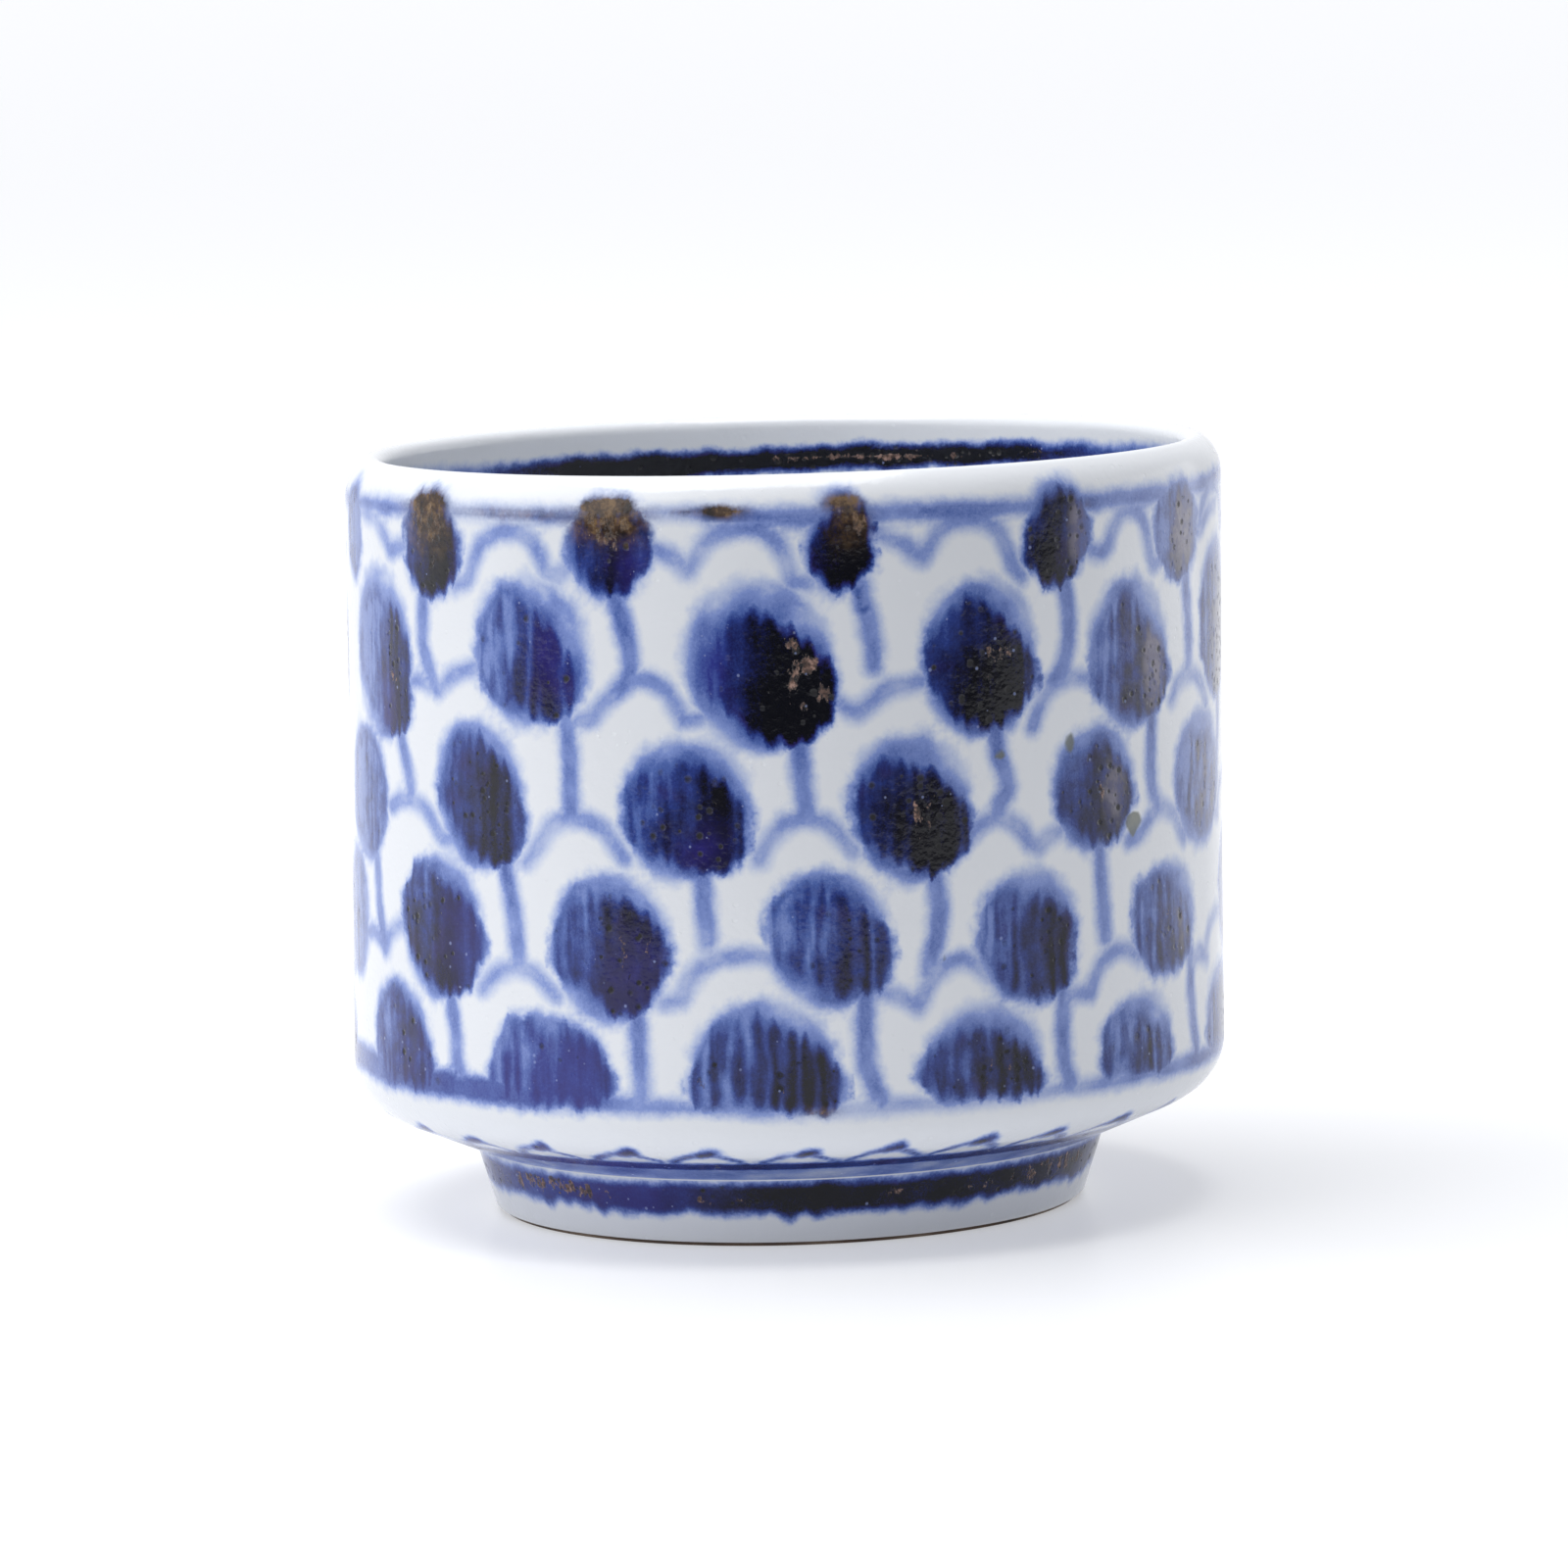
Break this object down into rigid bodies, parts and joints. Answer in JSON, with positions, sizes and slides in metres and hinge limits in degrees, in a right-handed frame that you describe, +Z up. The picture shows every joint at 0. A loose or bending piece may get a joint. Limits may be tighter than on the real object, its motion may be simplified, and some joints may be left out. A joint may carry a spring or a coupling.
{
  "type": "sake cup",
  "caption": "Straight-sided porcelain cup on a turned foot ring, clear glazed over a hand-painted underglaze blue repeat of tufts and lines.",
  "frame": {"origin": "centre of the foot ring's base, on the surface that the cup stands on", "axes": "+Z up along the cup's axis; -Y is the side that the picture shows"},
  "size_m": [0.06, 0.06, 0.0522],
  "materials": {
    "porcelain_body": "fired white porcelain under the glaze",
    "bare_clay": "unglazed, matt, slightly toasted at the edge",
    "clear_glaze": "clear glossy glaze with a faint blue tinge, tiny bubbles and pinholes",
    "dark_cobalt": "dark underglaze blue with brush streaks",
    "pale_cobalt": "pale underglaze blue wash with soft edges",
    "iron_brown": "brown crust where the colour lies thick, semi-matt"
  },
  "bodies": {
    "root": {"cup_wall": "porcelain_body", "cup_floor": "porcelain_body", "foot_ring": "bare_clay", "glaze_coat": "clear_glaze", "foot_well_glaze": "clear_glaze", "cobalt_tufts": "dark_cobalt", "tuft_stems": "pale_cobalt", "rim_line": "pale_cobalt", "base_line": "pale_cobalt", "foot_line": "dark_cobalt", "foot_band": "dark_cobalt", "inner_band": "dark_cobalt", "iron_crust": "iron_brown"}
  },
  "joints": []
}
